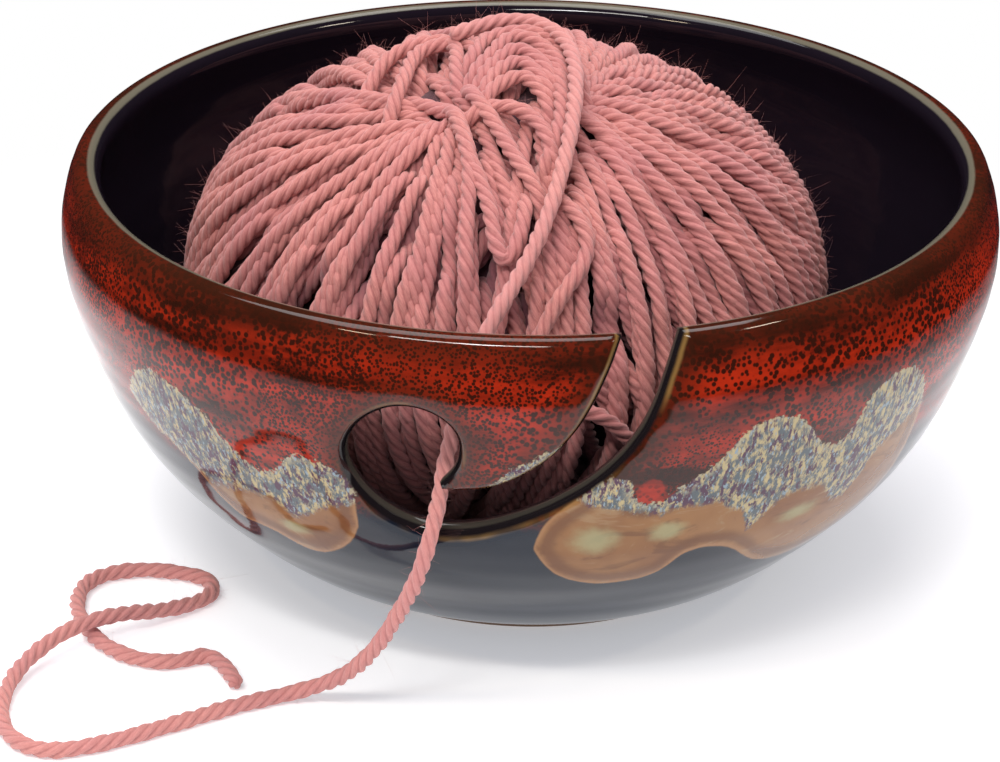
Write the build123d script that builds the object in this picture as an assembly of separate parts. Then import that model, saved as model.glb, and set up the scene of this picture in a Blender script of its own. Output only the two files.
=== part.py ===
from build123d import *
import math
import os

# Yarn bowl: a thrown stoneware bowl with a curled yarn guide cut through its wall,
# holding one wound ball of yarn whose working end runs out through the guide.
# Millimetres, +Z up, the origin on the table under the middle of the foot, guide on -Y.

# Driving dimensions of the bowl
BOWL_RADIUS = 80.0          # at the widest point, a little below the lip
BOWL_HEIGHT = 70.7
LIP_RADIUS = 74.6           # at the crest of the rounded lip
FOOT_RADIUS = 40.0
FOOT_HEIGHT = 2.2
FOOT_WIDTH = 5.0            # width of the trimmed ring that the bowl stands on
FLOOR_TOP = 6.2             # inside bottom above the table
WALL = 5.0

# Driving dimensions of the yarn
YARN_DIAMETER = 2.7
BALL_RADIUS = 56.0
BALL_HALF_HEIGHT = 41.5
BALL_CENTRE_X = -4.0        # the ball sits a little to one side of the bowl
BALL_FLOOR_GAP = 0.4

YARN_RADIUS = YARN_DIAMETER / 2
ON_TABLE = YARN_RADIUS + 0.05
OVER_YARN = ON_TABLE + YARN_DIAMETER + 0.4

# Outer wall, from the foot to the lip, as radius and height
OUTER_WALL = [
    (FOOT_RADIUS, FOOT_HEIGHT),
    (49.2, 5.9),
    (57.1, 12.7),
    (66.5, 22.6),
    (73.3, 33.9),
    (77.4, 45.2),
    (BOWL_RADIUS, 58.0),
    (79.2, 64.4),
    (LIP_RADIUS + 2.3, 69.0),
]

# Inner wall, from the middle of the floor to the lip
INNER_WALL = [
    (0.0, FLOOR_TOP),
    (20.0, 7.0),
    (40.0, 11.0),
    (53.0, 18.0),
    (62.3, 27.0),
    (68.6, 38.0),
    (72.5, 49.0),
    (BOWL_RADIUS - WALL, 58.5),
    (74.5, 64.0),
    (LIP_RADIUS - 2.3, 69.0),
]

# The yarn guide is cut by hand with the knife pointing at the bowl's axis, so its outline
# is given as it would look on a flat sheet held BOWL_RADIUS in front of that axis.
KNIFE_HEIGHT = 60.0         # the height on the axis that the knife points at
ABOVE_LIP = 78.0

# From the right side of the mouth, down, round the rounded eye, and to the tongue's tip
GUIDE_OUTER_EDGE = [
    (28.6, ABOVE_LIP),
    (23.8, 66.0),
    (19.6, 56.0),
    (13.4, 46.8),
    (4.4, 39.4),
    (-6.0, 33.7),
    (-17.0, 31.3),
    (-27.3, 35.7),
    (-32.3, 47.0),
    (-28.2, 55.8),
    (-18.6, 59.7),
    (-11.4, 56.2),
    (-10.6, 49.6),
    (-14.0, 44.3),
]

# From the tongue's tip back up to the left side of the mouth
TONGUE_EDGE = [
    (-14.0, 42.7),
    (-7.4, 43.6),
    (0.2, 47.8),
    (6.6, 54.4),
    (11.6, 63.0),
    (15.2, 70.6),
    (18.6, ABOVE_LIP),
]
TONGUE_TIP = (-14.8, 43.4)

# The yarn crosses from the ball's side to the bowl's side here, just inside the eye
EYE_ENTRY = (-11.6, -67.3, 49.8)

# Yarn from the top of the ball, down over its front and free to the eye
LEAD_ROUTE = [
    (-13.5, -1.5, 91.8),
    (-7.0, 3.4, 92.7),
    (-0.4, 4.2, 92.7),
    (4.6, -1.6, 92.6),
    (7.0, -10.2, 91.7),
    (7.4, -19.4, 89.6),
    (6.6, -29.0, 86.0),
    (4.8, -37.8, 81.0),
    (2.2, -45.6, 75.6),
    (-1.2, -52.2, 70.8),
    (-5.2, -58.6, 66.4),
    (-8.6, -63.4, 60.6),
    (-10.5, -66.4, 54.6),
    EYE_ENTRY,
]

# Yarn from the eye, over the lower edge of the guide, down to the table and round its loop
TAIL_ROUTE = [
    EYE_ENTRY,
    (-12.59, -68.11, 45.48),
    (-13.2, -69.4, 41.6),
    (-13.9, -73.4, 38.9),
    (-15.0, -77.2, 35.6),
    (-16.6, -77.4, 29.8),
    (-19.5, -74.2, 22.2),
    (-23.3, -70.8, 13.6),
    (-28.6, -67.0, 6.0),
    (-36.4, -64.2, ON_TABLE),
    (-45.4, -68.2, ON_TABLE),
    (-55.4, -74.6, ON_TABLE),
    (-66.2, -81.2, ON_TABLE),
    (-75.8, -84.2, ON_TABLE),
    (-82.4, -78.6, ON_TABLE),
    (-84.4, -68.8, ON_TABLE),
    (-82.6, -58.6, 2.4),
    (-75.9, -50.2, OVER_YARN),
    (-68.0, -44.6, OVER_YARN),
    (-60.4, -39.2, 2.0),
    (-53.4, -33.6, ON_TABLE),
    (-53.2, -27.4, ON_TABLE),
    (-60.0, -24.2, ON_TABLE),
    (-68.6, -23.6, ON_TABLE),
    (-75.4, -27.8, ON_TABLE),
    (-76.2, -36.2, ON_TABLE),
    (-73.8, -43.6, ON_TABLE),
    (-69.6, -50.4, ON_TABLE),
    (-63.4, -54.8, ON_TABLE),
    (-57.2, -55.4, ON_TABLE),
    (-52.2, -52.2, ON_TABLE),
    (-48.6, -56.8, ON_TABLE),
    (-46.6, -62.2, ON_TABLE),
]


def bowl_blank():
    """The thrown bowl before the guide is cut: wall, rounded lip and trimmed foot."""
    recess = FOOT_HEIGHT - 0.2
    with BuildPart() as blank:
        with BuildSketch(Plane.XZ):
            with BuildLine():
                Spline(INNER_WALL, tangents=[(1, 0), (-0.45, 0.9)])
                ThreePointArc(INNER_WALL[-1], (LIP_RADIUS, BOWL_HEIGHT), OUTER_WALL[-1])
                Spline(OUTER_WALL[::-1], tangents=[(0.42, -0.9), (-0.95, -0.3)])
                Polyline(
                    OUTER_WALL[0],
                    (FOOT_RADIUS, 0.6),
                    (FOOT_RADIUS - 0.6, 0),
                    (FOOT_RADIUS - FOOT_WIDTH + 0.6, 0),
                    (FOOT_RADIUS - FOOT_WIDTH, 0.6),
                    (FOOT_RADIUS - FOOT_WIDTH, recess),
                    (0, recess),
                    INNER_WALL[0],
                )
            make_face()
        revolve(axis=Axis.Z)
    return blank.part


def guide_cutter():
    """The guide's outline tapered to the axis, so that its sides cross the wall squarely."""
    def outline(distance):
        scale = distance / BOWL_RADIUS

        def place(points):
            return [(x * scale, -distance, KNIFE_HEIGHT + (z - KNIFE_HEIGHT) * scale) for x, z in points]

        outer = place(GUIDE_OUTER_EDGE)
        tongue = place(TONGUE_EDGE)
        edges = [
            Edge.make_spline([Vector(p) for p in outer]),
            Edge.make_three_point_arc(outer[-1], place([TONGUE_TIP])[0], tongue[0]),
            Edge.make_spline([Vector(p) for p in tongue]),
            Edge.make_line(tongue[-1], outer[0]),
        ]
        return Wire(edges)

    return Solid.make_loft([outline(45.0), outline(100.0)], ruled=True)


def make_bowl():
    """The finished bowl: the blank with the yarn guide cut through its front wall."""
    return bowl_blank() - guide_cutter()


def make_ball():
    """One wound ball, a little flattened by its own weight, round about an upright axis."""
    bottom = FLOOR_TOP + BALL_FLOOR_GAP
    middle = bottom + BALL_HALF_HEIGHT
    top = middle + BALL_HALF_HEIGHT
    outline = []
    for step in range(13):
        angle = math.radians(-90 + 15 * step)
        outline.append((BALL_RADIUS * math.cos(angle), middle + BALL_HALF_HEIGHT * math.sin(angle)))
    with BuildPart() as ball:
        with BuildSketch(Plane.XZ):
            with BuildLine():
                Spline(outline, tangents=[(1, 0), (-1, 0)])
                Line((0, top), (0, bottom))
            make_face()
        revolve(axis=Axis.Z)
    return Pos(BALL_CENTRE_X, 0, 0) * ball.part


def make_yarn(name, route):
    """A round tube along straight runs joined by arcs as large as the runs allow."""
    points = [Vector(p) for p in route]
    runs = [(b - a) for a, b in zip(points, points[1:])]
    radii = []
    for before, after in zip(runs, runs[1:]):
        turn = math.radians(before.get_angle(after))
        shorter = min(before.length, after.length)
        radii.append(0.45 * shorter / math.tan(turn / 2))
    path = FilletPolyline(*points, radius=radii)
    start = Plane(origin=points[0], z_dir=runs[0].normalized())
    tube = sweep(start * Circle(YARN_RADIUS), path=path)
    section = math.pi * YARN_RADIUS ** 2
    print(name, "length", round(path.length, 1), "radii", [round(r, 1) for r in radii])
    print(name, "volume over section times length", round(tube.volume / (section * path.length), 4))
    return tube


os.makedirs("parts", exist_ok=True)
export_step(make_bowl(), "parts/bowl.step")
export_step(make_ball(), "parts/yarn_ball.step")
export_step(make_yarn("lead_strand", LEAD_ROUTE), "parts/lead_strand.step")
export_step(make_yarn("working_yarn", TAIL_ROUTE), "parts/working_yarn.step")
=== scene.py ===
import math
import random

import bmesh
import bpy
import numpy as np
from mathutils import Matrix, Vector
from mathutils.geometry import delaunay_2d_cdt
from mathutils.kdtree import KDTree


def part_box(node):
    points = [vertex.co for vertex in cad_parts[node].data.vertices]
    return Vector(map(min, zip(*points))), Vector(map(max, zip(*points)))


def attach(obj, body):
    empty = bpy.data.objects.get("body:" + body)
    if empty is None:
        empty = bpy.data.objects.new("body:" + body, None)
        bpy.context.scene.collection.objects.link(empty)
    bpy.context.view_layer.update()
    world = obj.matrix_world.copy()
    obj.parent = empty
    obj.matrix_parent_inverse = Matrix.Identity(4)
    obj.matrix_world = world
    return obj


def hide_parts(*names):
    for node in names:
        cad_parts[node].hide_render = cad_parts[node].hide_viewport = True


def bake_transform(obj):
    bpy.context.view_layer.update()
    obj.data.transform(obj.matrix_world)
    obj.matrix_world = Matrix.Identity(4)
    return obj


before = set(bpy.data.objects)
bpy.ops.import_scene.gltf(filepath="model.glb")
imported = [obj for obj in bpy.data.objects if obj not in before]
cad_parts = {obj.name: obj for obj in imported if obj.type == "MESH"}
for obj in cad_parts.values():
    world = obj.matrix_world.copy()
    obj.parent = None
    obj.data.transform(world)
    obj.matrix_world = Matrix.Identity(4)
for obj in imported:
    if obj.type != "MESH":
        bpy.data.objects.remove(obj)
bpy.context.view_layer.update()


# ---------------------------------------------------------------------------
# The bowl. One piece of thrown stoneware, about 5 mm thick, with a rounded lip and a trimmed foot.
# The yarn guide is knifed through the leather-hard wall and its edges are sponged round.

MM = 0.001


def through(points, count):
    """A smooth line of count points, evenly spaced, through the given ones (natural cubic spline)."""
    given = np.array(points, float)
    reach = np.concatenate([[0], np.cumsum(np.linalg.norm(np.diff(given, axis=0), axis=1))])
    gaps = np.diff(reach)
    last = len(given) - 1
    system = np.eye(last + 1)
    pull = np.zeros_like(given)
    for i in range(1, last):
        system[i, i - 1:i + 2] = gaps[i - 1], 2 * (gaps[i - 1] + gaps[i]), gaps[i]
        pull[i] = 6 * ((given[i + 1] - given[i]) / gaps[i] - (given[i] - given[i - 1]) / gaps[i - 1])
    bend = np.linalg.solve(system, pull)
    at = np.linspace(0, reach[-1], count)
    k = np.clip(np.searchsorted(reach, at, "right") - 1, 0, last - 1)
    a = ((reach[k + 1] - at) / gaps[k])[:, None]
    b = 1 - a
    h = (gaps[k] ** 2 / 6)[:, None]
    return a * given[k] + b * given[k + 1] + h * ((a ** 3 - a) * bend[k] + (b ** 3 - b) * bend[k + 1])


def even(line, step):
    """The same line with its points about one step apart."""
    line = np.asarray(line, float)
    reach = np.concatenate([[0], np.cumsum(np.linalg.norm(np.diff(line, axis=0), axis=1))])
    at = np.linspace(0, reach[-1], max(3, int(round(reach[-1] / step)) + 1))
    return np.stack([np.interp(at, reach, line[:, i]) for i in range(line.shape[1])], 1)


bowl_low, bowl_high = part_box("bowl")
bowl_radius = (bowl_high[0] - bowl_low[0]) / 2 / MM
bowl_height = bowl_high[2] / MM
lip_radius = bowl_radius - 5.4

# The middle of the clay wall as (radius, height), from above the foot to the lip's crest.
half_wall = 2.5
wall_middle = even(through([
    (55.4, 14.5),
    (64.5, 24.1),
    (71.05, 35.0),
    (75.1, 46.0),
    (bowl_radius - half_wall, 57.5),
    (77.0, 63.6),
    (lip_radius + 1.2, bowl_height - 3.0),
    (lip_radius, bowl_height),
], 400), 0.2)
wall_reach = np.concatenate([[0], np.cumsum(np.linalg.norm(np.diff(wall_middle, axis=0), axis=1))])
wall_length = wall_reach[-1]
wall_slope = np.gradient(wall_middle, wall_reach, axis=0)
wall_slope /= np.linalg.norm(wall_slope, axis=1)[:, None]

# The guide's outline, in mm on a flat sheet held one bowl radius in front of the bowl's axis.
# The knife points at the axis at this height.
knife_height = 60.0
guide_outline = [
    (18.2, 78.0),
    (16.6, 74.0),
    (15.0, 70.0),
    (11.8, 63.0),
    (6.8, 54.6),
    (0.4, 48.2),
    (-7.2, 44.2),
    (-12.6, 43.3),
    (-14.4, 43.3),
    (-13.4, 45.2),
    (-11.2, 49.2),
    (-11.3, 55.2),
    (-18.4, 58.9),
    (-27.6, 55.0),
    (-31.4, 47.0),
    (-26.8, 36.6),
    (-17.0, 32.2),
    (-6.4, 34.6),
    (4.0, 40.3),
    (12.8, 47.6),
    (19.0, 56.6),
    (23.2, 66.4),
    (26.4, 73.6),
    (28.2, 78.0),
]


def on_wall(sheet_points):
    """Where points of the knife's sheet fall on the wall: (turn in degrees, reach up the wall)."""
    sheet = np.asarray(sheet_points, float)
    rise = (sheet[:, 1] - knife_height) / np.hypot(sheet[:, 0], bowl_radius)
    wall_rise = (wall_middle[:, 1] - knife_height) / wall_middle[:, 0]
    reach = np.interp(rise, wall_rise, wall_reach)
    past = (rise - wall_rise[-1]) / (wall_rise[-1] - wall_rise[-2])
    reach = np.where(rise > wall_rise[-1], wall_length + past * (wall_reach[-1] - wall_reach[-2]), reach)
    return np.degrees(np.arctan2(sheet[:, 0], bowl_radius)), reach


# The wall is cut and meshed unrolled: x is the way round in mm at a mean radius, y the way up it.
turns_round = 400
mean_radius = 76.0
turn_to_mm = math.radians(1) * mean_radius
column = 360.0 / turns_round * turn_to_mm
edge_round = 2.5

guide_turn, guide_reach = on_wall(even(through(guide_outline, 600), 0.5))
guide = np.stack([guide_turn * turn_to_mm, guide_reach], 1)
guide = guide[guide[:, 1] < wall_length - 0.3]


def inside_outline(points, outline):
    """True for each point that lies inside the closed outline."""
    x, y = points[:, 0:1], points[:, 1:2]
    ax, ay = outline[:, 0], outline[:, 1]
    bx, by = np.roll(ax, -1), np.roll(ay, -1)
    crosses = ((ay > y) != (by > y)) & (x < ax + (bx - ax) * (y - ay) / (by - ay + 1e-12))
    return crosses.sum(1) % 2 == 1


mouth_left = np.array([guide[0, 0], wall_length])
mouth_right = np.array([guide[-1, 0], wall_length])
cut = np.vstack([mouth_left, guide, mouth_right])
closed_cut = np.vstack([cut, mouth_right + (0, 9), mouth_left + (0, 9)])

columns = (np.arange(turns_round + 1) - turns_round / 2) * column
lip_line = np.stack([columns, np.full(len(columns), wall_length)], 1)
left_lip = lip_line[lip_line[:, 0] < mouth_left[0] - 0.5]
right_lip = lip_line[lip_line[:, 0] > mouth_right[0] + 0.5]
rim = np.vstack([left_lip, cut, right_lip])


def distance_to(line):
    """A function that gives how far points of the unrolled wall lie from the line, in mm."""
    parts = 4
    share = (np.arange(parts) / parts)[:, None]
    along = (line[:-1, None] * (1 - share) + line[1:, None] * share).reshape(-1, 2)
    tree = KDTree(len(along))
    for i, mark in enumerate(along):
        tree.insert((mark[0], mark[1], 0), i)
    tree.balance()

    def measure(points):
        near = np.array([tree.find((p[0], p[1], 0))[1] for p in points]) // parts
        best = np.full(len(points), np.inf)
        for step in (-1, 0, 1):
            segment = np.clip(near + step, 0, len(line) - 2)
            start, run = line[segment], line[segment + 1] - line[segment]
            at = np.clip(((points - start) * run).sum(1) / (run * run).sum(1), 0, 1)
            best = np.minimum(best, np.linalg.norm(points - start - at[:, None] * run, axis=1))
        return best

    return measure


from_rim = distance_to(rim)
from_cut = distance_to(cut)

# Rows of points that follow the rim close together, where the edge is rounded, then an even grid.
row_gap = 1.25
clear_of_rows = 0.75
rim_side = np.gradient(rim, axis=0)
rim_side = np.stack([rim_side[:, 1], -rim_side[:, 0]], 1)
rim_side /= np.linalg.norm(rim_side, axis=1)[:, None] + 1e-9
laid = [rim]
for angle in (16, 32, 48, 62, 76, 90):
    offset = edge_round * (1 - math.cos(math.radians(angle)))
    ring = rim + rim_side * offset
    ring = ring[(abs(ring[:, 0]) <= columns[-1] + 1e-6) & ~inside_outline(ring, closed_cut)]
    laid.append(ring[from_rim(ring) > offset * 0.97])
rows = np.arange(0, wall_length - edge_round - 0.9, row_gap)
grid = np.array([(x, y) for y in rows for x in columns])
grid = grid[~inside_outline(grid, closed_cut)]
grid = grid[from_rim(grid) > edge_round + clear_of_rows]
laid.append(grid)
flat = np.vstack(laid)
rim_edges = [(i, i + 1) for i in range(len(rim) - 1)]
flat, _, faces, *_ = delaunay_2d_cdt([Vector(p) for p in flat], rim_edges, [], 0, 1e-5)
flat = np.array([tuple(p) for p in flat])
faces = np.array([f for f in faces if len(f) == 3])
middles = flat[faces].mean(1)
faces = faces[~inside_outline(middles, closed_cut)]

turn = np.radians(flat[:, 0] / turn_to_mm)
gap = from_rim(flat)
gap[gap < 1e-3] = 0
cut_gap = from_cut(flat)
full = np.sqrt(np.clip(1 - (1 - np.clip(gap / edge_round, 0, 1)) ** 2, 0, 1)) * half_wall
middle_r = np.interp(flat[:, 1], wall_reach, wall_middle[:, 0])
middle_z = np.interp(flat[:, 1], wall_reach, wall_middle[:, 1])
out_r = np.interp(flat[:, 1], wall_reach, wall_slope[:, 1])
out_z = -np.interp(flat[:, 1], wall_reach, wall_slope[:, 0])


def ridges(turn, height):
    """Faint throwing rings and the slight unevenness of a hand-thrown wall, in mm."""
    rings = 0.03 * np.sin(height * 1.25 + 0.6 * np.sin(turn))
    out_of_round = 0.16 * np.sin(2 * turn + 0.7) + 0.09 * np.sin(3 * turn + height * 0.05)
    return rings + out_of_round


def spun(radius, turn, height):
    """A point on the bowl: turn 0 faces the front, which is -Y, and grows to the right."""
    radius = radius + ridges(turn, height) * np.clip(radius / 30 - 0.5, 0, 1)
    return np.stack([radius * np.sin(turn), -radius * np.cos(turn), height], 1)


outer = spun(middle_r + out_r * full, turn, middle_z + out_z * full)
inner = spun(middle_r - out_r * full, turn, middle_z - out_z * full)


def onward(points, start):
    """The smooth line through the points, from start onwards."""
    line = through(points, 240)
    first = int(np.argmin(np.linalg.norm(line - start, axis=1)))
    return even(np.vstack([[start], line[first + 2:]]), 1.6)


foot_radius = 40.0
foot_width = 5.0
out = np.array([wall_slope[0, 1], -wall_slope[0, 0]]) * half_wall
outer_start = wall_middle[0] + out
inner_start = wall_middle[0] - out
upstream = int(np.searchsorted(wall_reach, 12.0))
out_up = np.array([wall_slope[upstream, 1], -wall_slope[upstream, 0]]) * half_wall
floor_line = onward([
    wall_middle[upstream] - out_up,
    inner_start,
    (43.0, 10.6),
    (30.0, 7.9),
    (16.0, 6.7),
    (0.0, 6.4),
], inner_start)
under_line = onward([
    wall_middle[upstream] + out_up,
    outer_start,
    (49.4, 6.3),
    (44.4, 3.6),
    (foot_radius + 0.2, 2.3),
], outer_start)
foot_line = even([
    (foot_radius + 0.2, 2.3),
    (foot_radius, 0.7),
    (foot_radius - 0.7, 0.0),
    (foot_radius - foot_width + 0.7, 0.0),
    (foot_radius - foot_width, 0.7),
    (foot_radius - foot_width, 2.0),
    (foot_radius - foot_width - 1.0, 2.4),
    (0.0, 2.4),
], 0.5)


def spun_sheet(line):
    """The rings of a line turned round the axis, with the faces between them."""
    angles = np.radians(columns[:-1] / turn_to_mm)
    points = []
    for radius, height in line:
        points.append(spun(np.full(turns_round, max(radius, 1e-4)), angles, np.full(turns_round, height)))
    rings, here = np.divmod(np.arange((len(line) - 1) * turns_round), turns_round)
    after = (here + 1) % turns_round
    low = rings * turns_round
    faces = np.stack([low + here, low + after, low + turns_round + after, low + turns_round + here], 1)
    return np.vstack(points), faces


# The runny second glaze. Its dabs at the front, outlined as (turn in degrees, height in mm), and
# round the rest of the bowl as ovals: turn, height, half width in degrees, half height, lean.
dabs = [
    [(-57, 45), (-54, 50), (-49, 53), (-44, 52), (-40, 49), (-36, 43), (-32, 42), (-28, 47),
     (-25, 47), (-22, 45), (-20.5, 38), (-22, 31), (-26, 26.5), (-31, 24.5), (-36, 27), (-42, 28),
     (-45, 33), (-49, 38), (-54, 41)],
    [(-4.5, 44.5), (-3, 48), (0, 51.5), (4, 54.5), (9, 56), (6, 49), (0, 45)],
    [(1, 33), (2, 38), (6, 43.5), (9, 47), (12, 47), (13, 43), (16, 42.5), (19, 45), (22, 49),
     (25, 53.5), (29, 55.5), (33, 53), (37, 47), (40, 46.5), (42, 52), (45, 55), (50, 55.5),
     (54, 51), (56, 44), (57, 35), (56, 26), (52, 21), (45, 19), (38, 20), (32, 23.5), (28, 27.5),
     (24, 29.5), (21, 29), (18, 25.5), (13, 23.5), (8, 24), (3, 28)],
]
oval_dabs = [
    (78, 40, 12, 13, 0.1),
    (97, 44, 10, 11, 0.0),
    (124, 36, 13, 12, -0.2),
    (150, 42, 10, 12, 0.1),
    (176, 37, 13, 13, 0.1),
    (205, 43, 11, 11, -0.2),
    (228, 36, 12, 13, 0.2),
    (258, 42, 12, 12, 0.0),
    (283, 38, 11, 12, -0.1),
]

# Within a dab the glaze broke into speckles above this line and ran smooth and tan below it.
tide_line = [
    (-180, 37), (-150, 40), (-120, 36), (-95, 40), (-70, 37), (-57, 42), (-50, 39), (-44, 34),
    (-38, 35.5), (-33, 36), (-30, 33), (-26, 36), (-20, 40), (0, 42), (6, 43.5), (13, 40),
    (16, 39.5), (20, 40), (23, 40.5), (27, 37), (29, 31), (32, 37), (39, 38), (42, 33), (45, 32),
    (48, 40), (57, 46), (75, 38), (100, 41), (130, 35), (155, 40), (180, 37),
]

# Where it pooled green, and where drops of the red show, as (turn, height, half width, half height).
green_pools = [
    (8.5, 35, 4.0, 4.0),
    (17.5, 35.5, 3.4, 2.6),
    (36.5, 33, 4.6, 2.4),
    (-31, 30, 3.0, 2.0),
    (99, 36, 5.0, 3.0),
    (176, 31, 6.0, 3.0),
    (-132, 31, 5.0, 3.0),
]
red_drops = [
    (14.4, 44.6, 1.9, 2.6),
    (-25.4, 46.6, 0.9, 1.6),
]


def ovals(turn, height, spots):
    """How deep inside the nearest of the ovals a point lies: 1 at its middle, 0 at its edge."""
    best = np.full(len(turn), -3.0)
    for side, middle, wide, tall, *lean in spots:
        across = (np.degrees(turn) - side + 180) % 360 - 180
        up = height - middle - sum(lean) * across
        best = np.maximum(best, 1 - np.sqrt((across / wide) ** 2 + (up / tall) ** 2))
    return best


def dab_field(turn, height):
    """How deep inside a dab of the second glaze a point of the outside lies, in mm, 0 at its edge."""
    oval_depth, outside = 12, -6.0
    best = np.maximum(ovals(turn, height, oval_dabs) * oval_depth, outside)
    place = np.stack([np.degrees(turn) * turn_to_mm, height], 1)
    for dab in dabs:
        drawn_dab = np.array(dab + dab[:1], float) * (turn_to_mm, 1)
        outline = even(through(drawn_dab, 200), 0.8)
        low, high = outline.min(0) + outside, outline.max(0) - outside
        near = np.flatnonzero(((place > low) & (place < high)).all(1))
        depth = distance_to(outline)(place[near])
        depth = np.where(inside_outline(place[near], outline[:-1]), depth, -depth)
        best[near] = np.maximum(best[near], depth)
    return best


def round_the_edge(distance):
    """The way over the rounded edge, in mm, from its crest to points this far into the wall."""
    bent = np.arccos(np.clip(1 - distance / edge_round, -1, 1)) * edge_round
    return np.where(distance < edge_round, bent, distance + edge_round * (math.pi / 2 - 1))


# The bowl's five sheets: points, faces, 1 if the black lining covers them, and the distances to
# the rim and to the knifed edge, if they are near it.
floor_points, floor_faces = spun_sheet(floor_line)
under_points, under_faces = spun_sheet(under_line)
foot_points, foot_faces = spun_sheet(foot_line)
far_off = 9.0
sheets = [
    (outer, faces, 0.0, gap, cut_gap),
    (inner, faces[:, ::-1], 1.0, gap, cut_gap),
    (floor_points, floor_faces, 1.0, None, None),
    (under_points, under_faces[:, ::-1], 0.0, None, None),
    (foot_points, foot_faces[:, ::-1], 0.0, None, None),
]
points, polygons, lining, edge_gap, knife_gap = [], [], [], [], []
for sheet_points, sheet_faces, side, sheet_gap, sheet_cut in sheets:
    first = sum(len(p) for p in points)
    points.append(sheet_points)
    polygons.extend((sheet_faces + first).tolist())
    nowhere = np.full(len(sheet_points), far_off)
    free = nowhere if sheet_gap is None else round_the_edge(sheet_gap)
    edge_gap.append(free)
    knife_gap.append(nowhere if sheet_cut is None else round_the_edge(sheet_cut))
    lining.append(np.where(free == 0, 0.5, side))
points = np.vstack(points)
lining = np.concatenate(lining)
edge_gap = np.concatenate(edge_gap)
knife_gap = np.concatenate(knife_gap)
point_turn = np.arctan2(points[:, 0], -points[:, 1])
dab_depth = np.where(lining < 0.6, dab_field(point_turn, points[:, 2]), -6.0)
tide = points[:, 2] - np.interp(np.degrees(point_turn), *zip(*tide_line))
pool = ovals(point_turn, points[:, 2], green_pools)
drop = ovals(point_turn, points[:, 2], red_drops)

clay = bpy.data.meshes.new("glazed_bowl")
clay.from_pydata((points * MM).tolist(), [], polygons)
laid_glaze = {"lining": lining, "edge_gap": edge_gap, "knife_gap": knife_gap,
              "dab": dab_depth, "tide": tide, "pool": pool, "drop": drop}
for name, values in laid_glaze.items():
    clay.attributes.new(name, "FLOAT", "POINT").data.foreach_set("value", values)
welded = bmesh.new()
welded.from_mesh(clay)
bmesh.ops.remove_doubles(welded, verts=welded.verts, dist=3e-6)
bmesh.ops.dissolve_degenerate(welded, edges=welded.edges, dist=1e-7)
bmesh.ops.recalc_face_normals(welded, faces=welded.faces)
welded.to_mesh(clay)
welded.free()
clay.shade_smooth()
bowl = bpy.data.objects.new("glazed_bowl", clay)
bpy.context.scene.collection.objects.link(bowl)


class Flow:
    """One output of a shader node. Arithmetic on it adds Math nodes to the same tree."""

    def __init__(self, tree, socket):
        self.tree = tree
        self.socket = socket

    def node(self, kind, settings=(), sockets=(), output=0):
        """Adds any other node: its settings first, then the values or links of its sockets."""
        made = self.tree.nodes.new(kind)
        for name, value in dict(settings).items():
            setattr(made, name, value)
        for name, value in dict(sockets).items():
            if isinstance(value, Flow):
                self.tree.links.new(value.socket, made.inputs[name])
            else:
                made.inputs[name].default_value = value
        return Flow(self.tree, made.outputs[output])

    def maths(self, operation, a, b):
        """A Math node on two values."""
        return self.node("ShaderNodeMath", {"operation": operation}, {0: a, 1: b})

    def __add__(self, other):
        return self.maths("ADD", self, other)

    __radd__ = __add__

    def __mul__(self, other):
        return self.maths("MULTIPLY", self, other)

    __rmul__ = __mul__

    def __sub__(self, other):
        return self.maths("SUBTRACT", self, other)

    def __rsub__(self, other):
        return self.maths("SUBTRACT", other, self)

    def between(self, low, high):
        """0 below low, 1 above high, and smooth between them."""
        return self.node("ShaderNodeMapRange", {"interpolation_type": "SMOOTHSTEP"},
                         {"Value": self, "From Min": low, "From Max": high})

    def mix(self, a, b):
        """Colour a where this mask is 0, and b where it is 1."""
        a, b = ((*c, 1) if isinstance(c, tuple) else c for c in (a, b))
        return self.node("ShaderNodeMix", {"data_type": "RGBA"}, {"Factor": self, 6: a, 7: b}, 2)

    def noise(self, scale, detail=4.0, rough=0.6, warp=0.0):
        """Noise at this vector, from 0 to 1."""
        return self.node("ShaderNodeTexNoise", (), {
            "Vector": self, "Scale": scale, "Detail": detail, "Roughness": rough, "Distortion": warp})

    def cells(self, scale):
        """Distance to the nearest point of a scattered pattern at this vector."""
        return self.node("ShaderNodeTexVoronoi", (), {"Vector": self, "Scale": scale})

    def stretch(self, x, y, z):
        """This vector scaled along each axis."""
        return self.node("ShaderNodeVectorMath", {"operation": "MULTIPLY"}, {0: self, 1: (x, y, z)})


def new_finish(name, **uniform):
    """A new material: its Principled shader with the uniform values set, and its object coordinates."""
    finish = bpy.data.materials.new(name)
    finish.use_nodes = True
    tree = finish.node_tree
    shader = tree.nodes["Principled BSDF"]
    for socket, value in uniform.items():
        shader.inputs[socket.replace("_", " ")].default_value = value
    place = Flow(tree, tree.nodes.new("ShaderNodeTexCoord").outputs["Object"])
    return finish, shader, place


def lead_to(shader, **flows):
    """Links what changes over the surface to the shader's sockets."""
    for socket, flow in flows.items():
        flow.tree.links.new(flow.socket, shader.inputs[socket.replace("_", " ")])


def measured(place, name):
    """A number stored on the mesh's points."""
    return place.node("ShaderNodeAttribute", {"attribute_name": name}, (), 2)


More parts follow.
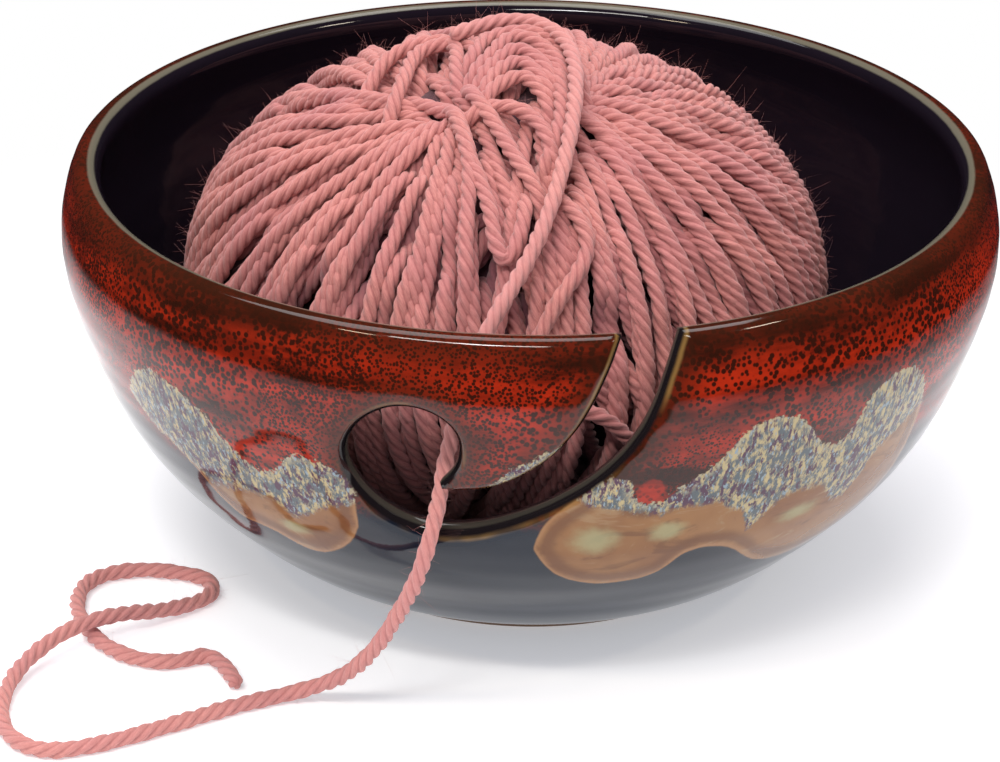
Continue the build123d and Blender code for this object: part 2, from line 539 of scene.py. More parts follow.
def glaze():
    """Layered glaze: leopard-spotted oxblood over black, with dabs of a runny cream and tan glaze."""
    finish, shader, place = new_finish("layered_glaze", IOR=1.40)
    height = place.node("ShaderNodeSeparateXYZ", (), {0: place}, 2) * (1 / MM)
    lining = measured(place, "lining")
    edge_gap = measured(place, "edge_gap")
    knife_gap = measured(place, "knife_gap")
    dab = measured(place, "dab")
    tide = measured(place, "tide")
    wander = place.noise(38, 5, 0.62) - 0.5
    fine = place.noise(260, 3, 0.6) - 0.5
    grain = place.noise(1000, 2, 0.6) - 0.5

    # Oxblood with dense black leopard spots, in uneven dark bands that follow the throwing
    spot_size = place.noise(75, 3, 0.6)
    coarse = place.cells(1050) - spot_size * 0.66
    small = place.cells(1750) - spot_size * 0.60
    choice = place.noise(30, 2, 0.5).between(0.45, 0.6)
    leopard = (coarse * choice + small * (1 - choice)).between(0.06, 0.27)
    bands = place.stretch(0.6, 0.6, 3.4).noise(42, 5, 0.62)
    blood = (bands + fine * 0.3).between(0.36, 0.64).mix((0.36, 0.020, 0.005), (0.13, 0.009, 0.003))
    red = leopard.mix((0.030, 0.006, 0.003), blood)
    red = ((bands + wander * 0.3).between(0.54, 0.66) * 0.85).mix(red, (0.016, 0.004, 0.002))
    under_lip = 1 - (edge_gap + wander * 7 + bands * 3).between(3.0, 11.0)
    red = (under_lip * 0.85).mix(red, (0.034, 0.009, 0.004))

    # Black glaze below, where the red was not laid; its blue tint is painted reflection of the pale table
    black = (0.006, 0.011, 0.021)
    body = (height + wander * 10 + fine * 3).between(36, 41).mix(black, red)
    drop = (measured(place, "drop") + fine * 0.8).between(0.0, 0.2)
    body = (drop * 0.35).mix(body, (0.42, 0.022, 0.008))

    # The dabs above their tide line: cream, slate blue and plum speckles that ran down
    above = (tide + wander * 5 + fine * 3 + grain * 3).between(-0.8, 1.0)
    ragged = dab + wander * 2.2 + (fine * 1.8 + grain * 2.6) * above
    laid_on = ragged.between(-0.1, 0.35)
    running = place.stretch(1, 1, 0.36)
    runs = running.noise(1050, 3, 0.7)
    speckle = (runs + wander * 0.3).between(0.40, 0.56).mix((0.42, 0.34, 0.175), (0.085, 0.105, 0.115))
    plum_fleck = (running.noise(760, 3, 0.7) + wander * 0.3).between(0.50, 0.60)
    speckle = plum_fleck.mix(speckle, (0.070, 0.030, 0.058))
    speckle = running.noise(1700, 2, 0.6).between(0.57, 0.68).mix(speckle, (0.22, 0.29, 0.33))
    brim = (1 - (dab + fine * 2).between(0.3, 2.2)) * (runs + grain * 0.5).between(0.5, 0.62)
    speckle = (brim * 0.8).mix(speckle, (0.42, 0.37, 0.23))

    # Below it: tan, ringed with brown towards its edge, and green where it pooled
    shade = place.noise(70, 3, 0.55)
    swirl = place.stretch(1, 1, 2.2).noise(85, 4, 0.6, 1.2)
    tan = shade.between(0.35, 0.68).mix((0.26, 0.125, 0.045), (0.19, 0.078, 0.028))
    tan = (swirl.between(0.54, 0.66) * 0.6).mix(tan, (0.11, 0.042, 0.016))
    tan = ((1 - swirl.between(0.34, 0.44)) * 0.5).mix(tan, (0.31, 0.21, 0.11))
    depth = dab + wander * 4 + fine * 0.6
    ring = depth.between(0.7, 1.7) * (1 - depth.between(2.4, 4.2))
    tan = (ring * 0.8).mix(tan, (0.13, 0.050, 0.018))
    lip_of_dab = 1 - depth.between(0.3, 1.0)
    tan = (lip_of_dab * 0.8).mix(tan, (0.30, 0.150, 0.060))
    pool = (measured(place, "pool") + wander * 1.2 + fine * 0.7).between(0.0, 0.8)
    tan = (pool * 0.75).mix(tan, (0.31, 0.30, 0.155))
    dabbed = above.mix(tan, speckle)
    outside = laid_on.mix(body, dabbed)

    # The black lining comes over the knifed edges, and the glaze breaks to sage along the crest, partly as
    # glaze worn thin and partly as a painted highlight
    inside = place.noise(25).mix((0.010, 0.006, 0.011), (0.006, 0.005, 0.008))
    whole = lining.between(0.42, 0.58).mix(outside, inside)
    tan_line = (1 - (knife_gap + wander * 1.6).between(2.3, 2.9)) * place.noise(45, 3).between(0.46, 0.62)
    whole = (tan_line * (1 - lining.between(0.42, 0.58)) * 0.8).mix(whole, (0.20, 0.115, 0.035))
    black_edge = 1 - (knife_gap + wander * 1.2).between(1.5, 2.3)
    whole = black_edge.mix(whole, (0.008, 0.006, 0.007))
    # Partly painted highlight: the pale sage line along the lip's crest also stands for the light caught
    # there.
    crest = (1 - (edge_gap + wander * 0.7).between(0.35, 0.85)) * (1 - black_edge * 0.75)
    whole = (crest * 0.85).mix(whole, (0.135, 0.125, 0.090))
    bare = 1 - (height + wander * 0.8).between(1.6, 2.2)
    whole = bare.mix(whole, (0.16, 0.09, 0.05))
    lead_to(shader, Base_Color=whole, Roughness=bare * 0.6 + 0.07)

    thickness = place.noise(90, 3, 0.5) + dab.between(-0.3, 1.5) * 0.5
    bump = place.node("ShaderNodeBump", (), {"Strength": 0.10, "Distance": 0.0006, "Height": thickness})
    lead_to(shader, Normal=bump)
    return finish


clay.materials.append(glaze())
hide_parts("bowl")
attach(bowl, "bowl")


# ---------------------------------------------------------------------------
# The ball. About 25 m of 4-ply wool lie on its outside, wound from one crown to the other in
# overlapping fans, over a core painted near black as the shade between strands. It rests on the
# bowl's floor and turns there.

ball_low, ball_high = (np.array(corner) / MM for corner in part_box("yarn_ball"))
wound_share = (0.982, 1.0, 0.983)
ball_half = (ball_high - ball_low) / 2 * wound_share
ball_middle = (ball_low + ball_high) / 2
ball_middle[2] = ball_low[2] + ball_half[2]
ball_radius = 52

# A strand's section is a ring of round plies, their middles and radii given for a strand of radius 1.
yarn_radius = 1.35
twist_length = 10.0
ply_count = 4
ring_points = 16
ply_angle = 2 * math.pi / ply_count
lobe_centre = 0.70
lobe_radius = 0.64


def ply_outline():
    """The radius of the strand's section at each of its points: round plies with grooves between."""
    around = np.arange(ring_points) / ring_points * 2 * math.pi
    around = (around + ply_angle / 2) % ply_angle - ply_angle / 2
    return lobe_centre * np.cos(around) + np.sqrt(lobe_radius ** 2 - (lobe_centre * np.sin(around)) ** 2)


def plied(name, lines, sunk):
    """One mesh of plied strands along the given lines, in mm, with their depth below the outside, which the
    wool paints as shade.
    """
    outline = ply_outline() * yarn_radius / (lobe_centre + lobe_radius)
    around = np.arange(ring_points) / ring_points * 2 * math.pi
    points, polygons, fibre, depth, tops = [], [], [], [], []
    valley = 0.64
    # ply_top, how high a point stands on its ply, sets where the wool paints shade between the plies.
    top = (outline / yarn_radius - valley) / (1 - valley)
    first = 0
    for number, (line, line_sunk) in enumerate(zip(lines, sunk)):
        reach = np.concatenate([[0], np.cumsum(np.linalg.norm(np.diff(line, axis=0), axis=1))])
        along = np.gradient(line, axis=0)
        along /= np.linalg.norm(along, axis=1)[:, None]
        # Two directions across the strand, carried along it without turning round it
        side = np.zeros_like(line)
        now = np.cross(along[0], (0.31, 0.52, 0.79))
        for i, direction in enumerate(along):
            now = now - direction * (now @ direction)
            now = now / np.linalg.norm(now)
            side[i] = now
        up = np.cross(along, side)
        # The section turns with the twist, swells a little here and there and tapers at the ends
        phase = number * 2.4
        angle = around[None] - reach[:, None] * 2 * math.pi / twist_length + phase
        swell = 1 + 0.05 * np.sin(reach * 0.9 + number * 1.7) + 0.03 * np.sin(reach * 2.3 + number)
        taper = np.clip(np.minimum(reach, reach[-1] - reach) / 0.8 + 0.45, 0, 1)
        width = (outline[None] * (swell * taper)[:, None])[..., None]
        outward = np.cos(angle)[..., None] * side[:, None] + np.sin(angle)[..., None] * up[:, None]
        rings = line[:, None] + width * outward
        count = len(line)
        points.append(rings.reshape(-1, 3))
        low = (np.arange(count - 1) * ring_points)[:, None] + first
        here = np.arange(ring_points)[None]
        after = (here + 1) % ring_points
        quads = np.stack([low + here, low + after, low + ring_points + after, low + ring_points + here], 2)
        polygons.extend(quads.reshape(-1, 4).tolist())
        polygons.append(list(range(first + ring_points - 1, first - 1, -1)))
        polygons.append(list(range(first + (count - 1) * ring_points, first + count * ring_points)))
        lay = np.stack([
            np.broadcast_to(np.cos(around) * yarn_radius, (count, ring_points)),
            np.broadcast_to(np.sin(around) * yarn_radius, (count, ring_points)),
            np.broadcast_to((reach * 0.22 + number * 7.3)[:, None], (count, ring_points))], 2)
        fibre.append(lay.reshape(-1, 3))
        depth.append(np.repeat(line_sunk, ring_points))
        tops.append(np.tile(top, count))
        first += count * ring_points
    mesh = bpy.data.meshes.new(name)
    mesh.from_pydata((np.vstack(points) * MM).tolist(), [], polygons)
    mesh.attributes.new("fibre", "FLOAT_VECTOR", "POINT").data.foreach_set("vector", np.vstack(fibre).ravel())
    mesh.attributes.new("sunk", "FLOAT", "POINT").data.foreach_set("value", np.concatenate(depth))
    mesh.attributes.new("ply_top", "FLOAT", "POINT").data.foreach_set("value", np.concatenate(tops))
    mesh.shade_smooth()
    strands = bpy.data.objects.new(name, mesh)
    bpy.context.scene.collection.objects.link(strands)
    return strands


def wool():
    """Dusty rose wool with painted shade: darker between the plies, plum where the strands lie deep and near
    black on the core, and painted paler, as if lit more, on the drawn yarn.
    """
    finish, shader, place = new_finish("rose_wool", Roughness=0.9, Sheen_Weight=0.35, Sheen_Roughness=0.5,
                                       Sheen_Tint=(1.0, 0.8, 0.78, 1))
    fibre = place.node("ShaderNodeAttribute", {"attribute_name": "fibre"}, (), 1)
    sunk = measured(place, "sunk")
    hairs = fibre.noise(5.0, 4, 0.7)
    patch = place.noise(60, 2, 0.5)
    rose = hairs.between(0.3, 0.72).mix((0.46, 0.160, 0.142), (0.62, 0.255, 0.222))
    rose = (patch.between(0.35, 0.7) * 0.5).mix(rose, (0.42, 0.145, 0.155))
    # Painted shade: the wool is painted darker in the grooves between the plies.
    painted_groove_shade = 1 - measured(place, "ply_top").between(0.05, 0.6)
    rose = (painted_groove_shade * 0.6).mix(rose, (0.30, 0.075, 0.075))
    # Painted light: where sunk is below 0, on the drawn yarn, the wool is painted paler, as if lit more.
    rose = ((0 - sunk).between(0.2, 0.9) * 0.25).mix(rose, (0.70, 0.34, 0.31))
    # Painted shade: strands that lie deep below the ball's outside are painted plum.
    plum = sunk.between(2.0, 8.0).mix(rose, (0.25, 0.085, 0.105))
    # Painted shade: the core, with a sunk of 12, is painted near black.
    lead_to(shader, Base_Color=sunk.between(9.0, 12.0).mix(plum, (0.060, 0.017, 0.026)))
    bump = place.node("ShaderNodeBump", (), {"Strength": 0.5, "Distance": 0.0003, "Height": hairs})
    lead_to(shader, Normal=bump)
    return finish


rose_wool = wool()

# The height of the strands laid so far is kept on a square map of all directions from the middle.
pile_size = 760


def pile_cell(direction):
    """Where a direction from the ball's middle falls on the square map of the pile's height."""
    flat = direction[..., :2] / np.abs(direction).sum(-1)[..., None]
    sign = np.where(flat >= 0, 1.0, -1.0)
    folded = (1 - np.abs(flat[..., ::-1])) * sign
    flat = np.where(direction[..., 2:3] < 0, folded, flat)
    cell = np.clip(((flat + 1) / 2 * pile_size).astype(int), 0, pile_size - 1)
    return cell[..., 0], cell[..., 1]


def unit(vectors):
    """The vectors at length 1."""
    return vectors / np.linalg.norm(vectors, axis=-1)[..., None]


def toward(lon, lat):
    """A direction from the ball's middle: lon 0 is the front and grows to the right, lat 90 is up."""
    lon, lat = np.radians(lon), np.radians(lat)
    return np.stack([np.cos(lat) * np.sin(lon), -np.cos(lat) * np.cos(lon), np.sin(lat)], -1)


left_crown = toward(-33, 71)
right_crown = toward(40, 77)

across_map = (np.arange(pile_size) + 0.5) / pile_size * 2 - 1
map_x, map_y = np.meshgrid(across_map, across_map, indexing="ij")
map_z = 1 - np.abs(map_x) - np.abs(map_y)
fold_x = np.where(map_z < 0, (1 - np.abs(map_y)) * np.where(map_x >= 0, 1, -1), map_x)
fold_y = np.where(map_z < 0, (1 - np.abs(map_x)) * np.where(map_y >= 0, 1, -1), map_y)
map_direction = unit(np.stack([fold_x, fold_y, map_z], -1))


def hollow(direction):
    """How far the core lies below the ball's outside: deeper at the crowns, where strands pile up."""
    near = np.maximum(np.abs(direction @ left_crown), np.abs(direction @ right_crown))
    from_crown = np.sqrt(np.clip(1 - near ** 2, 0.01, 1))
    return 0.6 + np.clip(4.3 / from_crown, 0, 17.0)


def ball_point(direction, rise):
    """The point that stands the given height, in mm, off the ball's outside."""
    normal = unit(direction / ball_half)
    return ball_middle + direction * ball_half + normal * np.asarray(rise)[..., None]


# How high over the ball's outside a strand's middle may stand: all over it, and where it rests.
highest = -0.5
floor_rest = -1.4


def press(rise, direction):
    """Strands that would stand proud of the ball are pressed down, most of all where it rests."""
    limit = floor_rest + (highest - floor_rest) * np.clip(direction[:, 2] * 1.5 + 1.2, 0, 1)
    soft = 1.6
    over = rise - (limit - soft)
    return np.where(over > 0, limit - soft + soft * np.tanh(over / soft), rise)


# A strand starts this far below the pile, to come out of it over the first few mm.
strand_step = 0.8
crown_sink = 3.5
crown_reach = 9.0


def settle(direction, pressed):
    """Lays a taut strand on the pile along a line of directions, and returns its height there."""
    step = unit(np.gradient(direction, axis=0))
    side = np.cross(direction, step)
    feel = [unit(direction + side * reach / ball_radius)[None] for reach in (-0.9, -0.45, 0.0, 0.45, 0.9)]
    under = pile[pile_cell(np.concatenate(feel))].max(0)
    rise = under + yarn_radius * 0.92
    # It bridges hollows, sagging slightly, and doesn't bend sharply
    for _ in range(6):
        bridged = (np.roll(rise, 3) + np.roll(rise, -3)) / 2 - 0.06
        bridged[:3] = rise[:3]
        bridged[-3:] = rise[-3:]
        rise = np.maximum(rise, bridged)
    for _ in range(6):
        padded = np.concatenate([rise[:1], rise, rise[-1:]])
        rise = (padded[:-2] + 2 * padded[1:-1] + padded[2:]) / 4
    along = np.arange(len(rise)) * strand_step
    rise = rise - crown_sink * np.clip(1 - along / crown_reach, 0, 1) ** 2
    if pressed:
        rise = press(rise, direction)
    # The pile is now as high as this strand's top
    for across in np.linspace(-yarn_radius, yarn_radius, 9):
        cell = pile_cell(unit(direction + side * across / ball_radius))
        top = rise + math.sqrt(max(yarn_radius ** 2 - across ** 2, 0)) * 0.95
        np.maximum.at(pile, cell, top)
    return rise


draw = random.Random(7)

# Round a crown there is room for few strands side by side, so the others dive under them further
# out, by these degrees.
dive = (0, 20, 8, 31)
mm_per_degree = 0.95


def fan(crown, sides, first, last, pass_by, lean, pressed):
    """Strands from near one crown to near the opposite one, laid in turn from side to side."""
    front = unit(np.array([0, -1.0, 0]) - crown * (crown @ np.array([0, -1.0, 0])))
    right = np.cross(crown, front)
    lines = []
    for number, side in enumerate(sides):
        start = first + dive[number % 4] + draw.uniform(-2, 4)
        end = last - dive[(number + 2) % 4] - draw.uniform(-2, 4)
        offset = pass_by * draw.uniform(0.3, 1.2)
        angle = np.radians(np.linspace(start, end, int((end - start) * mm_per_degree / strand_step)))
        stray = np.radians(draw.uniform(-1.6, 1.6)) * np.sin(angle * draw.uniform(2, 4))
        sway = np.radians(lean) * np.sin(angle) + stray
        swing = np.radians(side) + sway
        swing = swing + np.arcsin(np.clip(offset / (ball_radius * np.sin(angle)), -0.9, 0.9))
        spread = np.cos(swing)[:, None] * front + np.sin(swing)[:, None] * right
        direction = np.cos(angle)[:, None] * crown + np.sin(angle)[:, None] * spread
        rise = settle(direction, pressed)
        lines.append((even(ball_point(direction, rise), strand_step), rise))
    return lines


def spaced(start, stop, step):
    """Sides for a fan's strands, in groups that lie close with a looser gap after each."""
    loose = 0.15
    sides = []
    at = start
    way = 1 if stop > start else -1
    left = draw.choice((2, 3, 4))
    while (stop - at) * way > 0:
        sides.append(at + draw.uniform(-0.3, 0.3))
        left -= 1
        at += way * step * (1 + (loose if left == 0 else 0))
        left = left or draw.choice((2, 3, 4, 5))
    return sides


# The same strands are wound four times. The first three find how far the core has to give for the
# pile to end level with the ball's outside, and the last is the one that is kept.
core = hollow(map_direction)
for pressed in (False, False, False, True):
    draw.seed(7)
    pile = -core
    windings = fan(unit(toward(10, 62)), spaced(-180, 180, 5.2), 8, 172, 9, 18, pressed)
    windings += fan(left_crown, spaced(44, -172, 2.55), 6, 172, 3.5, -6, pressed)
    windings += fan(right_crown, spaced(-4, 182, 2.55), 6, 172, -4.0, 4, pressed)
    windings += fan(left_crown, spaced(-172, -200, 2.8), 6, 150, 3.5, -6, pressed)
    windings += fan(right_crown, spaced(182, 212, 2.8), 6, 150, -4.0, 4, pressed)
    # How high the pile stands at its peaks, smoothed over the width of a few strands
    standing = pile
    for axis in (0, 1):
        standing = np.max([np.roll(standing, shift, axis) for shift in range(-8, 9, 2)], axis=0)
    for axis in (0, 1):
        standing = np.mean([np.roll(standing, shift, axis) for shift in range(-20, 21, 4)], axis=0)
    if not pressed:
        core = np.clip(core + standing - 1.6, 2.0, 30.0)


def strand_rise(line, rise):
    """The heights of a resampled strand, stretched to its new number of points."""
    return np.interp(np.linspace(0, 1, len(line)), np.linspace(0, 1, len(rise)), rise)


def ride_the_ball(piece):
    """Finishes a piece of the ball."""
    piece.data.materials.append(rose_wool)
    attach(piece, "ball")


# The strands are joined into pieces that stay small enough to be written out whole.
per_piece = 26
pieces = [windings[i:i + per_piece] for i in range(0, len(windings), per_piece)]
for number, group in enumerate(pieces, 1):
    # Their depth below the outside sets the wool's painted plum shade.
    depths = [np.clip(-strand_rise(line, rise) + 0.4, 0, 20) for line, rise in group]
    wound = plied(f"ball_windings_{number}", [line for line, _ in group], depths)
    ride_the_ball(wound)
    if number == 1:
        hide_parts("yarn_ball")

# Loose strands on top, as (lon, lat, height): the loops that slipped off the left crown, the
# mound of crossing turns between the crowns, and the strands that the working yarn pulled loose.
loose_strands = [
    [(-36, 70, -2.5), (-22, 66, 0.8), (-10, 55, 1.5), (-3, 43, 1.6), (-1.2, 36, 1.9), (0.4, 33.6, 1.9),
     (2.2, 36, 1.7), (4.6, 44, 1.2), (6.0, 50, -1.5)],
    [(-30, 75, -2.5), (-21, 72, 1.2), (-5, 64, 1.8), (4, 54, 1.6), (8, 47, 1.4), (9, 41, -1.2)],
    [(10, 50, -2.5), (15, 44, 1.2), (17, 37, 1.7), (15, 32, 1.8), (11, 27, 1.8), (7, 20, 1.6),
     (3, 10, 0.8), (1, 0, -2.5)],
    [(100, 84, -2.0), (72, 86, 1.8), (44, 81, 2.3), (33, 74, 2.4), (25, 68, 2.2),
     (19, 62, 1.8), (13, 56, 0.8), (9, 50, -2)],
    [(8, -1, -3.0), (13, 1.6, 0.6), (17, -0.6, 1.4), (20, -4.5, 1.4), (23, -9, 1.0),
     (26, -14, -2.5)],
    [(-46, 58, -3), (-52, 65, 0.5), (-66, 71, 1.6), (-88, 76, 2.0), (-90, 82, 1.9),
     (-40, 82, 1.0), (-20, 74, -2.0)],
    [(-70, 60, -3), (-82, 67, 1.0), (-96, 72, 1.9), (-100, 79, 2.0), (-60, 80, 2.0),
     (-38, 76, 1.4), (-22, 70, -2.5)],
    [(-17, 69, -2.5), (-17, 75, 1.9), (-10, 80, 3.0), (15, 83, 3.5), (30, 79, 2.9),
     (26, 73, 1.9), (22, 67, -2)],
    [(-26, 72, -2.5), (-24, 76, 1.8), (-20, 82, 3.0), (30, 87, 4.0), (48, 80, 3.1),
     (36, 74, 2.1), (28, 68, -2)],
    [(-14, 66, -2.5), (-12, 73, 1.9), (-4, 78, 2.7), (10, 80, 2.8), (22, 76, 2.3),
     (22, 71, 1.4), (19, 65, -2)],
    [(-12, 65, -2), (-9, 71, 2.0), (0, 75, 2.2), (9, 76, 2.3), (18, 73, 1.8), (19, 68, 0.8),
     (17, 62, -2)],
    [(-40, 74, -2.5), (-36, 79, 2.0), (-60, 86, 3.1), (100, 87, 3.7), (66, 80, 2.9),
     (48, 74, 2.0), (42, 68, -2)],
    [(-20, 62, -2), (-14, 66, 1.0), (-2, 68, 1.8), (8, 66, 1.9), (14, 58, 1.5), (15, 50, -1.8)],
    [(-24, 66, -2), (-16, 62, 1.1), (-9, 50, 1.4), (-8, 40, 1.2), (-7, 30, 0.8), (-7, 18, -2.0)],
]
loose_lines = []
for strand in loose_strands:
    way = np.array([ball_point(toward(lon, lat), rise) for lon, lat, rise in strand])
    loose_lines.append(even(through(way, 300), 0.7))
loose = plied("loose_strands", loose_lines, [np.zeros(len(line)) for line in loose_lines])
ride_the_ball(loose)


def core_ball():
    """The inside of the ball, painted near black as the shade seen between strands."""
    rings, round_it = 60, 120
    lat = np.linspace(-89.9, 89.9, rings)
    lon = np.arange(round_it) * 360 / round_it
    direction = toward(*(grid.ravel() for grid in np.meshgrid(lon, lat)))
    depth = core[pile_cell(direction)]
    points = ball_point(direction, -depth + 0.2)
    faces = []
    for ring in range(rings - 1):
        low, high = ring * round_it, (ring + 1) * round_it
        for i in range(round_it):
            j = (i + 1) % round_it
            faces.append((low + i, low + j, high + j, high + i))
    faces.append(tuple(range(round_it))[::-1])
    faces.append(tuple((rings - 1) * round_it + i for i in range(round_it)))
    mesh = bpy.data.meshes.new("ball_core")
    mesh.from_pydata((points * MM).tolist(), [], faces)
    # A sunk of 12 paints the core near black: painted shade between the strands.
    mesh.attributes.new("sunk", "FLOAT", "POINT").data.foreach_set("value", np.full(len(points), 12.0))
    mesh.attributes.new("fibre", "FLOAT_VECTOR", "POINT").data.foreach_set("vector", points.ravel())
    mesh.attributes.new("ply_top", "FLOAT", "POINT").data.foreach_set("value", np.ones(len(points)))
    mesh.shade_smooth()
    inner_ball = bpy.data.objects.new("ball_core", mesh)
    bpy.context.scene.collection.objects.link(inner_ball)
    return inner_ball


ride_the_ball(core_ball())


def fuzz(name, roots, outward, longest):
    """Fine stray hairs that stand off the yarn, rooted at the points and leaning outward."""
    stray = np.random.default_rng(11)
    count, rings, sides = len(roots), 6, 3
    root_radius, thinning = 0.020, 0.012
    off_the_table = 0.05
    lean = unit(outward + stray.normal(0, 0.75, (count, 3)))
    curl = stray.normal(0, 0.95, (count, 3))
    length = stray.uniform(0.35, 1.0, count) * longest
    reach = np.linspace(0, 1, rings)[None, :, None]
    line = roots[:, None] + (lean[:, None] * reach + curl[:, None] * reach ** 2) * length[:, None, None]
    side = unit(np.cross(lean, stray.normal(0, 1, (count, 3))))
    up = np.cross(lean, side)
    angle = np.arange(sides) / sides * 2 * math.pi
    width = (root_radius - thinning * reach)[..., None]
    across = np.cos(angle)[:, None] * side[:, None, None] + np.sin(angle)[:, None] * up[:, None, None]
    points = (line[:, :, None] + width * across).reshape(-1, 3)
    points[:, 2] = np.maximum(points[:, 2], off_the_table)
    low = np.arange(count)[:, None, None] * rings * sides + np.arange(rings - 1)[None, :, None] * sides
    here = np.arange(sides)[None, None]
    after = (here + 1) % sides
    faces = np.stack([low + here, low + after, low + sides + after, low + sides + here], 3).reshape(-1, 4)
    mesh = bpy.data.meshes.new(name)
    mesh.from_pydata((points * MM).tolist(), [], faces.tolist())
    mesh.attributes.new("ply_top", "FLOAT", "POINT").data.foreach_set("value", np.ones(len(points)))
    mesh.shade_smooth()
    hairs = bpy.data.objects.new(name, mesh)
    bpy.context.scene.collection.objects.link(hairs)
    return hairs


dice = np.random.default_rng(5)
ball_hairs = 6000
hair_root = 1.1
skin = np.vstack([line for line, _ in windings] + loose_lines)
skin_out = unit((skin - ball_middle) / ball_half ** 2)
proud = (((skin - ball_middle) / ball_half) ** 2).sum(1) > 0.92
chosen = dice.choice(np.flatnonzero(proud), ball_hairs, replace=False)
ride_the_ball(fuzz("ball_fuzz", skin[chosen] + skin_out[chosen] * hair_root, skin_out[chosen], 1.8))


# ---------------------------------------------------------------------------
# The working yarn. One loose strand of the ball's yarn comes off its crown in a loop and down its
# front, runs out through the eye of the guide and lies on the table. It is 0.36 m long and bare at
# its far end.

drawn_route = [
    (-0.0135, -0.0015, 0.0918),
    (-0.0070, 0.0034, 0.0927),
    (-0.0004, 0.0042, 0.0927),
    (0.0046, -0.0016, 0.0926),
    (0.0070, -0.0102, 0.0917),
    (0.0074, -0.0194, 0.0896),
    (0.0066, -0.0290, 0.0860),
    (0.0048, -0.0378, 0.0810),
    (0.0022, -0.0456, 0.0756),
    (-0.0012, -0.0522, 0.0708),
    (-0.0052, -0.0586, 0.0664),
    (-0.0086, -0.0634, 0.0606),
    (-0.0105, -0.0664, 0.0546),
    (-0.0116, -0.0673, 0.0498),
    (-0.01259, -0.06811, 0.04548),
    (-0.0132, -0.0694, 0.0416),
    (-0.0139, -0.0734, 0.0389),
    (-0.0150, -0.0772, 0.0356),
    (-0.0166, -0.0774, 0.0298),
    (-0.0195, -0.0742, 0.0222),
    (-0.0233, -0.0708, 0.0136),
    (-0.0286, -0.0670, 0.0060),
    (-0.0364, -0.0642, 0.0014),
    (-0.0454, -0.0682, 0.0014),
    (-0.0554, -0.0746, 0.0014),
    (-0.0662, -0.0812, 0.0014),
    (-0.0758, -0.0842, 0.0014),
    (-0.0824, -0.0786, 0.0014),
    (-0.0844, -0.0688, 0.0014),
    (-0.0826, -0.0586, 0.0024),
    (-0.0759, -0.0502, 0.0045),
    (-0.0680, -0.0446, 0.0045),
    (-0.0604, -0.0392, 0.0020),
    (-0.0534, -0.0336, 0.0014),
    (-0.0532, -0.0274, 0.0014),
    (-0.0600, -0.0242, 0.0014),
    (-0.0686, -0.0236, 0.0014),
    (-0.0754, -0.0278, 0.0014),
    (-0.0762, -0.0362, 0.0014),
    (-0.0738, -0.0436, 0.0014),
    (-0.0696, -0.0504, 0.0014),
    (-0.0634, -0.0548, 0.0014),
    (-0.0572, -0.0554, 0.0014),
    (-0.0522, -0.0522, 0.0014),
    (-0.0486, -0.0568, 0.0014),
    (-0.0466, -0.0622, 0.0014),
]

drawn = bpy.data.curves.new("drawn_line", "CURVE")
drawn.dimensions = "3D"
drawn.resolution_u = 16
spline = drawn.splines.new("NURBS")
spline.points.add(len(drawn_route) - 1)
for control, place in zip(spline.points, drawn_route):
    control.co = (*place, 1)
spline.order_u = 3
spline.use_endpoint_u = True
drawn_object = bpy.data.objects.new("drawn_line", drawn)
bpy.context.scene.collection.objects.link(drawn_object)
bpy.context.view_layer.update()
drawn_mesh = bpy.data.meshes.new_from_object(drawn_object)
drawn_line = even([np.array(vertex.co) / MM for vertex in drawn_mesh.vertices], 0.6)
bpy.data.objects.remove(drawn_object)

# Its sunk of -1 paints this yarn paler: painted light on the yarn out in front.
drawn_yarn = plied("drawn_yarn", [drawn_line], [np.full(len(drawn_line), -1.0)])
drawn_yarn.data.materials.append(rose_wool)
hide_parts("lead_strand", "working_yarn")
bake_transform(drawn_yarn)

drawn_hairs = 900
drawn_roots = drawn_line[dice.choice(len(drawn_line), drawn_hairs)]
drawn_out = unit(dice.normal(0, 1, (drawn_hairs, 3)) + (0, 0, 0.6))
drawn_fuzz = fuzz("drawn_fuzz", drawn_roots + drawn_out * hair_root, drawn_out, 1.9)
drawn_fuzz.data.materials.append(rose_wool)
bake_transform(drawn_fuzz)


# ---------------------------------------------------------------------------
# The table, the lights and the camera. The table is a plain white top, lit softly from above and
# from the front, with three small lamps for the glaze's highlights.

def board():
    """A plain pale table top, lit a hand's breadth round the bowl and fading out beyond."""
    top = bpy.data.meshes.new("table")
    half = 0.32
    corners = [(-half, -half, 0), (half, -half, 0), (half, half, 0), (-half, half, 0)]
    top.from_pydata(corners, [], [(0, 1, 2, 3)])
    table = bpy.data.objects.new("table", top)
    table.location = (-0.02, -0.07, 0)
    bpy.context.scene.collection.objects.link(table)
    finish, shader, place = new_finish(
        "table_white", Roughness=0.7, Base_Color=(0.80, 0.80, 0.80, 1),
        Emission_Color=(0.98, 1.0, 1.04, 1), Emission_Strength=0.36)
    away = place.node("ShaderNodeVectorMath", {"operation": "LENGTH"}, {0: place}, 1)
    lead_to(shader, Alpha=1 - (away + (place.noise(14, 3) - 0.5) * 0.05).between(0.13, 0.26))
    top.materials.append(finish)
    return table


board()


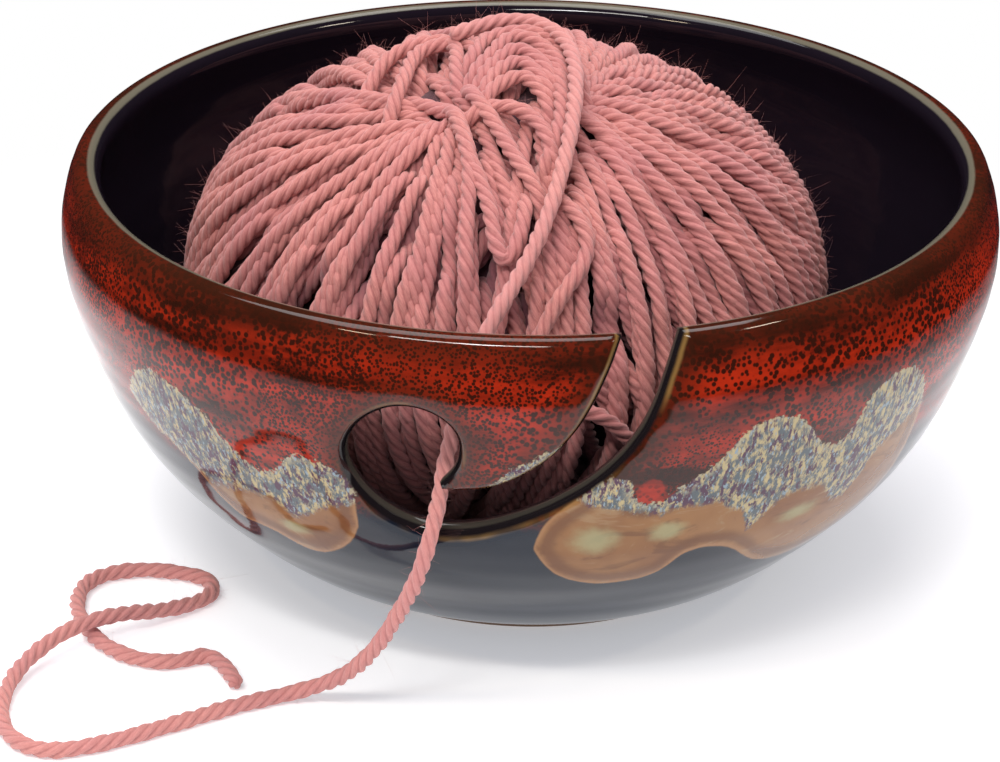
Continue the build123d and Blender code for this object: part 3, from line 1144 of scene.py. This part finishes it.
def softbox(name, place, aim, size, power, colour=(1, 1, 1)):
    """A rectangular light at place, turned to aim."""
    lamp = bpy.data.lights.new(name, "AREA")
    lamp.shape = "RECTANGLE"
    lamp.size, lamp.size_y = size
    lamp.energy = power
    lamp.color = colour
    box = bpy.data.objects.new(name, lamp)
    box.location = place
    box.rotation_euler = (Vector(aim) - Vector(place)).to_track_quat("-Z", "Y").to_euler()
    bpy.context.scene.collection.objects.link(box)


softbox("overhead", (-0.1, 0.25, 1.0), (0, 0, 0.05), (1.0, 0.5), 7)
softbox("front_top", (-0.25, -0.75, 1.15), (0, 0, 0.05), (0.7, 0.13), 7, (1.0, 0.96, 0.90))
softbox("warm_left", (-0.60, -0.54, 0.88), (0, 0, 0.05), (0.14, 0.05), 1.0, (1.0, 0.82, 0.58))
softbox("cool_front", (-0.17, -0.67, 0.98), (0, 0, 0.05), (0.17, 0.05), 1.4, (0.92, 0.95, 1.0))
softbox("warm_right", (0.77, -0.34, 0.85), (0, 0, 0.05), (0.16, 0.05), 1.2, (1.0, 0.88, 0.70))

# The camera sees white, the glaze mirrors a dark room, and all else is lit softly from all sides.
world = bpy.data.worlds.new("studio")
world.use_nodes = True
sky = world.node_tree
seen = Flow(sky, sky.nodes.new("ShaderNodeLightPath").outputs["Is Camera Ray"])
glossy = Flow(sky, sky.nodes["Light Path"].outputs["Is Glossy Ray"])
air = seen.mix(glossy.mix((0.76, 0.74, 0.81), (0.012, 0.011, 0.014)), (1.0, 1.0, 1.0))
sky.links.new(air.socket, sky.nodes["Background"].inputs["Color"])
bpy.context.scene.world = world
bpy.context.scene.view_settings.view_transform = "Standard"

lens = bpy.data.cameras.new("camera")
lens.lens = 126.6
lens.sensor_width = 36
camera = bpy.data.objects.new("camera", lens)
camera_place = (0, -0.5568, 0.2942)
pitch, yaw, roll = math.radians(25.63), math.radians(0.49), math.radians(0.57)
camera.matrix_world = (
    Matrix.Translation(camera_place)
    @ Matrix.Rotation(yaw, 4, "Z")
    @ Matrix.Rotation(math.pi / 2 - pitch, 4, "X")
    @ Matrix.Rotation(roll, 4, "Z"))
bpy.context.scene.collection.objects.link(camera)
bpy.context.scene.camera = camera
